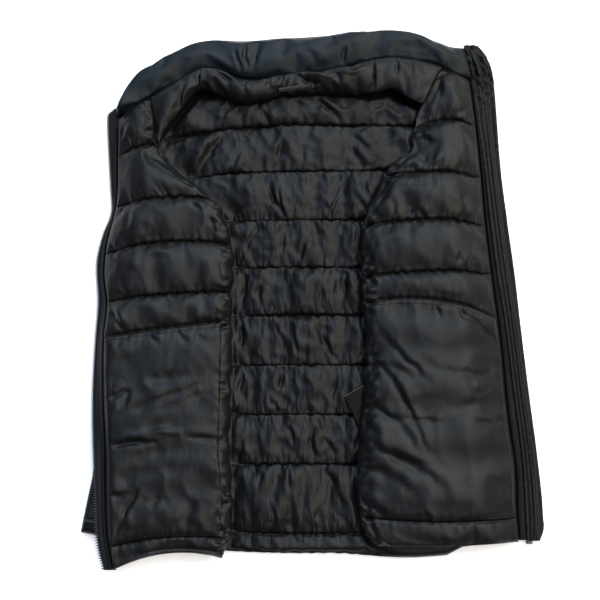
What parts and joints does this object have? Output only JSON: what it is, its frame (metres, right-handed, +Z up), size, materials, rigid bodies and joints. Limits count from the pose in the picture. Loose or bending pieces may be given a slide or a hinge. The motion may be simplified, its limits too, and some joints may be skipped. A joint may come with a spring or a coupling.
{
  "type": "puffer vest",
  "caption": "Quilted black puffer vest laid open on its back, fronts folded out lining up, stand collar spread above, zip tape on one side and stitched wind flap on the other.",
  "frame": {"origin": "on the floor under the middle of the laid-out vest's bounding box", "axes": "+Y from hem to collar, +Z up out of the floor, +X to the wind flap's side"},
  "size_m": [0.55, 0.6864, 0.0443],
  "materials": {
    "lining": "glossy taffeta",
    "collar_lining": "glossy taffeta",
    "zip_tape": "matte woven tape",
    "zip_teeth": "moulded",
    "placket": "matte, topstitched",
    "care_label": "satin",
    "neck_label": "woven satin"
  },
  "bodies": {
    "root": {"back_panel": "lining", "left_under_fold": "lining", "right_under_fold": "lining", "left_front": "lining", "right_front": "lining", "left_pocket_bag": "lining", "right_pocket_bag": "lining", "collar": "collar_lining", "left_shoulder": "lining", "neck_roll": "lining", "right_shoulder": "lining", "left_zip_tape": "zip_tape", "left_zip_teeth": "zip_teeth", "right_zip_tape": "zip_tape", "right_zip_teeth": "zip_teeth", "zip_box": "zip_teeth", "placket": "placket", "care_label": "care_label", "neck_label": "neck_label"}
  },
  "joints": []
}
